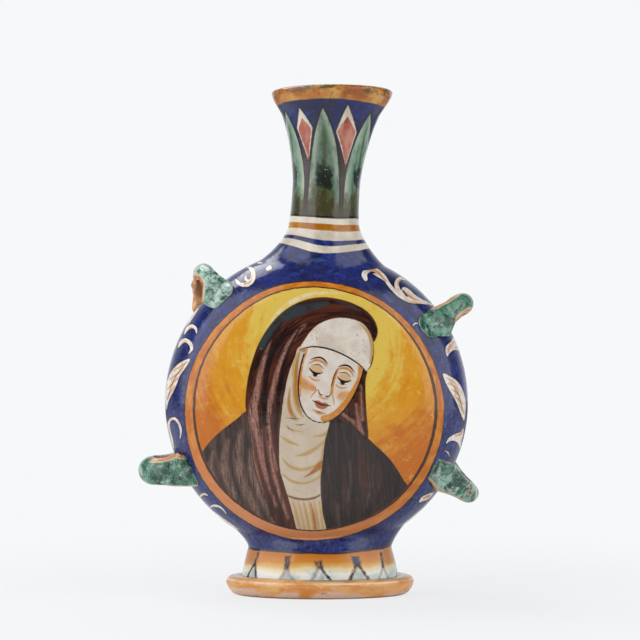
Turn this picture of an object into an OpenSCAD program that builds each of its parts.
// Pilgrim flask: a flattened round body luted together from two moulded shells, with a
// thrown neck, a two-piece foot and four strap lugs for a carrying cord.
// Millimetres, +Z up, the painted front faces -Y, origin at the middle of the foot's base.

/* [Body] */
// Diameter of the round body, across the seam
body_d = 175; // [168:1:182]
// Thickness of the body from front to back
body_t = 80; // [77:1:84]
// Radius of the rounded edge between the domed faces
edge_r = 34; // [32:0.5:35]
// Thickness of the clay wall
wall = 5; // [4:0.5:6]
// Height of the body's centre above the table
body_z = 111.5; // [110:0.5:113]
// Sideways offset of the body's centre from the foot's
body_x = -2; // [-3:0.5:3]

/* [Neck] */
// Height of the lip above the table
flask_h = 291; // [283:1:299]
// Lean of the neck from upright, in degrees towards +X
neck_lean = 3.5; // [0:0.5:4]
// Outer radius of the neck at its narrowest
neck_r = 19.4; // [18.5:0.1:21]
// Outer radius of the lip
lip_r = 34.8; // [32:0.2:37]
// Radius of the throat's bore
bore_r = 14; // [12.5:0.5:14.5]
// Height up to which the throat's bore is a straight cylinder
throat_top = 248; // [240:1:252]
// Radius of the hole cut in the shells under the neck
shell_hole_r = 16.5; // [15.5:0.5:18]

/* [Foot] */
// Half length of the foot plate
plate_a = 54; // [50:1:58]
// Half depth of the foot plate
plate_b = 36; // [34:1:40]
// Thickness of the foot plate
plate_h = 11; // [9:0.5:12]
// Half length of the collar at its waist
collar_a = 41.3; // [40:0.5:43]
// Half depth of the collar at its waist
collar_b = 27; // [26:0.5:29]

/* [Lugs] */
// Thickness of the lug straps
strap_t = 5; // [4.5:0.5:6]
// Thickness of the pads
pad_t = 2; // [1.5:0.25:2.5]

/* [Hidden] */
$fn = 96;

body_r = body_d / 2;
half_t = body_t / 2;
edge_c = body_r - edge_r;
dome_r = (edge_c * edge_c + half_t * half_t - edge_r * edge_r) / (2 * (half_t - edge_r));
dome_angle = asin(edge_c / (dome_r - edge_r));
slack = 1;
loft_sides = 64;

// The neck's foot, where it spreads over the shoulder, and the ring where the spread starts
neck_x = 1.45;
neck_z = 199;
spread_z = 214;
spread_r = 20.3;
spread_a = 37;
spread_b = 27;
spread_sink = 1.2;
spread_steps = 10;
spread_leave = 22;
spread_arrive = 15;
neck_root = [20, 14, 60]; // half length, half depth and height above the body's centre
throat_depth = 99;

// The collar's skirt, where it spreads up the body
skirt_z = 27.5;
skirt_a = 49.5;
skirt_b = 25;
skirt_steps = 8;
collar_base_a = 45;
collar_base_b = 30.5;
collar_wall = 6;
skirt_leave = 9;
skirt_arrive = 7;
collar_root = [30, 12, 50]; // half length, half depth and depth below the body's centre
hollow_top = 60; // depth below the body's centre that the hollow of the foot reaches

// Painted-front colours
cobalt = [0.13, 0.17, 0.42];
copper_green = [0.20, 0.45, 0.36];
ochre = [0.85, 0.52, 0.20];

// Each lug, as seen from the front: [place round the body, direction, reach beyond the rim,
// half depth over the legs, turn about its direction, distance of its pads' ends from the body's
// middle, half widths to the left of its direction, and to the right], with the half widths at
// lug_stations and at the tip
upper_left = [134, 121.5, 17.1, 21.5, 9.5, 76, [10, 12, 6.2, 5.2, 5.8], [6.5, 7.4, 5.4, 5, 5.8]];
upper_right = [34.4, 30.5, 20, 23, -3, 72, [5.6, 6.2, 5.6, 6.2, 6.5], [9.5, 12.6, 7, 5.8, 6.5]];
lower_left = [209, 180.5, 25.8, 18.5, -4, 80.7, [8.2, 8.6, 7.5, 7.3, 7.8], [10.4, 10.6, 7.7, 7.4, 7.8]];
lower_right = [-29.4, -37.2, 20.9, 21.5, 2, 75.6, [7.4, 9.4, 7, 6, 5.7], [7.4, 9.4, 6.8, 5.8, 5.7]];
// Places along a lug from its legs to its tip, as shares of the way
lug_stations = [0, 0.2, 0.5, 0.7];

// Shape of the body

// Distance of the body's surface from its centre line at depth y, on the rounded edge
function edge_at(y) = edge_c + sqrt(edge_r * edge_r - y * y);
// Height of the body's upper or lower (side = 1 or -1) surface at x and y
function body_surface(x, y, side) =
    body_z + side * sqrt(pow(edge_at(y), 2) - pow(x - body_x, 2));

module body_section(inset) {
    contact = (dome_r - inset) * sin(dome_angle);
    translate([edge_c, 0])
        circle(edge_r - inset);
    intersection() {
        translate([0, half_t - dome_r])
            circle(dome_r - inset);
        translate([0, dome_r - half_t])
            circle(dome_r - inset);
        translate([0, -half_t])
            square([contact, body_t]);
    }
}

module body_solid(inset) {
    translate([body_x, 0, body_z])
        rotate([90, 0, 0])
            rotate_extrude()
                body_section(inset);
}

// Everything behind (side = 1) or in front (side = -1) of the seam
module half_space(side) {
    big = 2 * body_d;
    translate([-big / 2, side > 0 ? 0 : -big, -big / 2])
        cube([big, big, 2 * big]);
}

module shell(side) {
    color(cobalt)
        difference() {
            body_solid(0);
            body_solid(wall);
            half_space(-side);
            throat_hole(shell_hole_r);
        }
}

// Lofts through rings of points

function ellipse_ring(a, b, z, x = 0) =
    [for (i = [0:loft_sides - 1])
        let (t = 360 * i / loft_sides)
        [x + a * cos(t), b * sin(t), z]];

// Point at share t of the curve that leaves p along d and arrives at q along e
function hermite(p, d, q, e, t) =
    (2 * t * t * t - 3 * t * t + 1) * p + (t * t * t - 2 * t * t + t) * d
    + (3 * t * t - 2 * t * t * t) * q + (t * t * t - t * t) * e;

// Rings listed from the bottom up, each counterclockwise seen from above
module loft(rings) {
    n = len(rings[0]);
    m = len(rings);
    sides = [for (j = [0:m - 2], i = [0:n - 1])
        let (k = (i + 1) % n)
        each [[j * n + i, j * n + n + i, j * n + n + k], [j * n + i, j * n + n + k, j * n + k]]];
    bottom = [[for (i = [0:n - 1]) i]];
    top = [[for (i = [n - 1:-1:0]) (m - 1) * n + i]];
    polyhedron(points = [for (r = rings) each r], faces = concat(bottom, sides, top));
}

// Neck

neck_shift = tan(neck_lean);
function neck_mid(z) = neck_x + neck_shift * (z - neck_z);
// [height, outer radius] of the thrown neck above the spread
neck_steps = [[222, 19.6], [236, neck_r], [244, 20.0], [252, 21.2], [260, 22.9], [267, 24.7],
    [273, 26.7], [277, 28.3], [280.2, 30.2], [282.6, lip_r - 3], [285, lip_r - 1.5],
    [287.2, lip_r - 0.5], [flask_h - 1.8, lip_r], [flask_h - 0.6, lip_r - 0.7],
    [flask_h, lip_r - 2.2]];

// Ring of the spread at share t of the way from the neck to the shoulder
function spread_ring(t) =
    [for (i = [0:loft_sides - 1])
        let (
            a = 360 * i / loft_sides,
            out = [cos(a), sin(a)],
            top = [neck_mid(spread_z) + spread_r * out[0], spread_r * out[1], spread_z],
            x = neck_x + spread_a * out[0],
            y = spread_b * out[1],
            x2 = neck_x + (spread_a + slack) * out[0],
            y2 = (spread_b + slack) * out[1],
            low = [x, y, body_surface(x, y, 1) - spread_sink],
            run = [x2, y2, body_surface(x2, y2, 1) - spread_sink] - low
        )
        hermite(top, [0, 0, -spread_leave], low, spread_arrive * run / norm(run), t)];

module neck_outside() {
    loft(concat(
        [ellipse_ring(neck_root[0], neck_root[1], body_z + neck_root[2], neck_x)],
        [for (k = [spread_steps:-1:0]) spread_ring(k / spread_steps)],
        [for (s = neck_steps) ellipse_ring(s[1], s[1], s[0], neck_mid(s[0]))]));
}

// A round hole along the neck's axis, from well inside the body up into the mouth
module throat_hole(radius) {
    translate([neck_mid(throat_top), 0, throat_top])
        rotate([0, neck_lean, 0])
            translate([0, 0, -throat_depth])
                cylinder(r = radius, h = throat_depth + slack);
}

// The mouth widens above the throat as the outside does, and rounds over the lip
module mouth_flare() {
    h = flask_h - throat_top;
    translate([neck_mid(throat_top), 0, throat_top])
        rotate([0, neck_lean, 0])
            rotate_extrude()
                polygon([[0, 0], [bore_r, 0], [bore_r + 1.6, 0.2 * h], [bore_r + 4.2, 0.4 * h],
                    [bore_r + 8, 0.64 * h], [bore_r + 11.2, 0.81 * h], [bore_r + 13.6, 0.94 * h],
                    [bore_r + 15, h], [bore_r + 17, 1.1 * h], [0, 1.1 * h]]);
}

module neck() {
    color(copper_green)
        difference() {
            neck_outside();
            body_solid(0);
            throat_hole(bore_r);
            mouth_flare();
        }
}

// Foot

// Ring of the collar's skirt at share t of the way from its waist up to the body
function skirt_ring(t) =
    [for (i = [0:loft_sides - 1])
        let (
            a = 360 * i / loft_sides,
            out = [cos(a), sin(a)],
            low = [collar_a * out[0], collar_b * out[1], skirt_z],
            x = skirt_a * out[0],
            y = skirt_b * out[1],
            x2 = (skirt_a + slack) * out[0],
            y2 = (skirt_b + slack) * out[1],
            high = [x, y, body_surface(x, y, -1) + spread_sink],
            run = [x2, y2, body_surface(x2, y2, -1) + spread_sink] - high
        )
        hermite(low, [0, 0, skirt_leave], high, skirt_arrive * run / norm(run), t)];

module foot_collar() {
    color(ochre)
        difference() {
            loft(concat(
                [for (t = [0:0.25:1])
                    ellipse_ring(collar_base_a + t * (collar_a - collar_base_a),
                        collar_base_b + t * (collar_b - collar_base_b),
                        plate_h + pow(t, 0.8) * (skirt_z - plate_h))],
                [for (k = [1:skirt_steps]) skirt_ring(k / skirt_steps)],
                [ellipse_ring(collar_root[0], collar_root[1], body_z - collar_root[2], body_x)]));
            body_solid(0);
            foot_hollow();
        }
}

module foot_hollow() {
    loft([ellipse_ring(collar_base_a - collar_wall, collar_base_b - collar_wall, -slack),
        ellipse_ring(collar_a - collar_wall, collar_b - collar_wall, skirt_z),
        ellipse_ring(collar_a - 2 * collar_wall, collar_b - 2 * collar_wall, body_z - hollow_top)]);
}

// The plate's edge: [inset from the outline, height as a share of the thickness]
plate_edge = [[6.5, 0], [4.6, 0.05], [3.2, 0.13], [1.8, 0.28], [0.7, 0.46], [0, 0.66], [0.3, 0.8],
    [1.2, 0.91], [2.4, 0.97], [3.6, 0.99], [5, 1]];

module foot_plate() {
    color(ochre)
        difference() {
            loft([for (e = plate_edge) ellipse_ring(plate_a - e[0], plate_b - e[0], e[1] * plate_h)]);
            foot_hollow();
        }
}

// Lugs

// The arch of the strap as seen from the front: wide at its legs, round at its bend
module arch_outline(spec, reach) {
    left = spec[6];
    right = spec[7];
    tip = left[4];
    inside = -8;
    last = len(lug_stations) - 1;
    left_edge = [for (k = [0:last]) [lug_stations[k] * reach, left[k]]];
    right_edge = [for (k = [last:-1:0]) [lug_stations[k] * reach, -right[k]]];
    polygon(concat([[inside, left[0]]], left_edge, [[reach - tip, tip], [reach - tip, -tip]],
        right_edge, [[inside, -right[0]]]));
    translate([reach - tip, 0])
        circle(tip);
}

// The pad that each end of the strap is pressed into, ending on a circle round the body's middle
module pad_outline(spec, leg_r) {
    around = spec[0] - spec[1];
    inward = 12;
    under_strap = 4;
    difference() {
        translate([-inward, -spec[7][0]])
            square([inward + under_strap, spec[6][0] + spec[7][0]]);
        translate([-leg_r * cos(around), -leg_r * sin(around)])
            circle(spec[5]);
    }
}

// An outline seen from the front, carried through the whole depth of the flask
module through() {
    rotate([90, 0, 0])
        linear_extrude(body_t, center = true)
            children();
}

module strap_loop(half_width, reach, depth) {
    translate([0, 0, -half_width])
        linear_extrude(2 * half_width)
            difference() {
                scale([reach, depth])
                    circle(1);
                scale([reach - strap_t, depth - strap_t])
                    circle(1);
            }
}

// Puts a lug's own +X along its direction, where its legs leave the body
module place_lug(spec, leg_r) {
    translate([body_x + leg_r * cos(spec[0]), 0, body_z + leg_r * sin(spec[0])])
        rotate([0, -spec[1], 0])
            rotate([spec[4], 0, 0])
                children();
}

module lug(spec) {
    depth = spec[3];
    widest = 20;
    leg_r = edge_at(depth);
    reach = body_r + spec[2] - leg_r;
    color(copper_green)
        difference() {
            union() {
                place_lug(spec, leg_r)
                    intersection() {
                        through()
                            arch_outline(spec, reach);
                        strap_loop(widest, reach, depth);
                    }
                intersection() {
                    place_lug(spec, leg_r)
                        through()
                            pad_outline(spec, leg_r);
                    body_solid(-pad_t);
                }
            }
            body_solid(0);
        }
}

shell(-1);  // front_shell
shell(1);  // back_shell
neck();
foot_collar();
foot_plate();
lug(upper_left);  // upper_left_lug
lug(upper_right);  // upper_right_lug
lug(lower_left);  // lower_left_lug
lug(lower_right);  // lower_right_lug
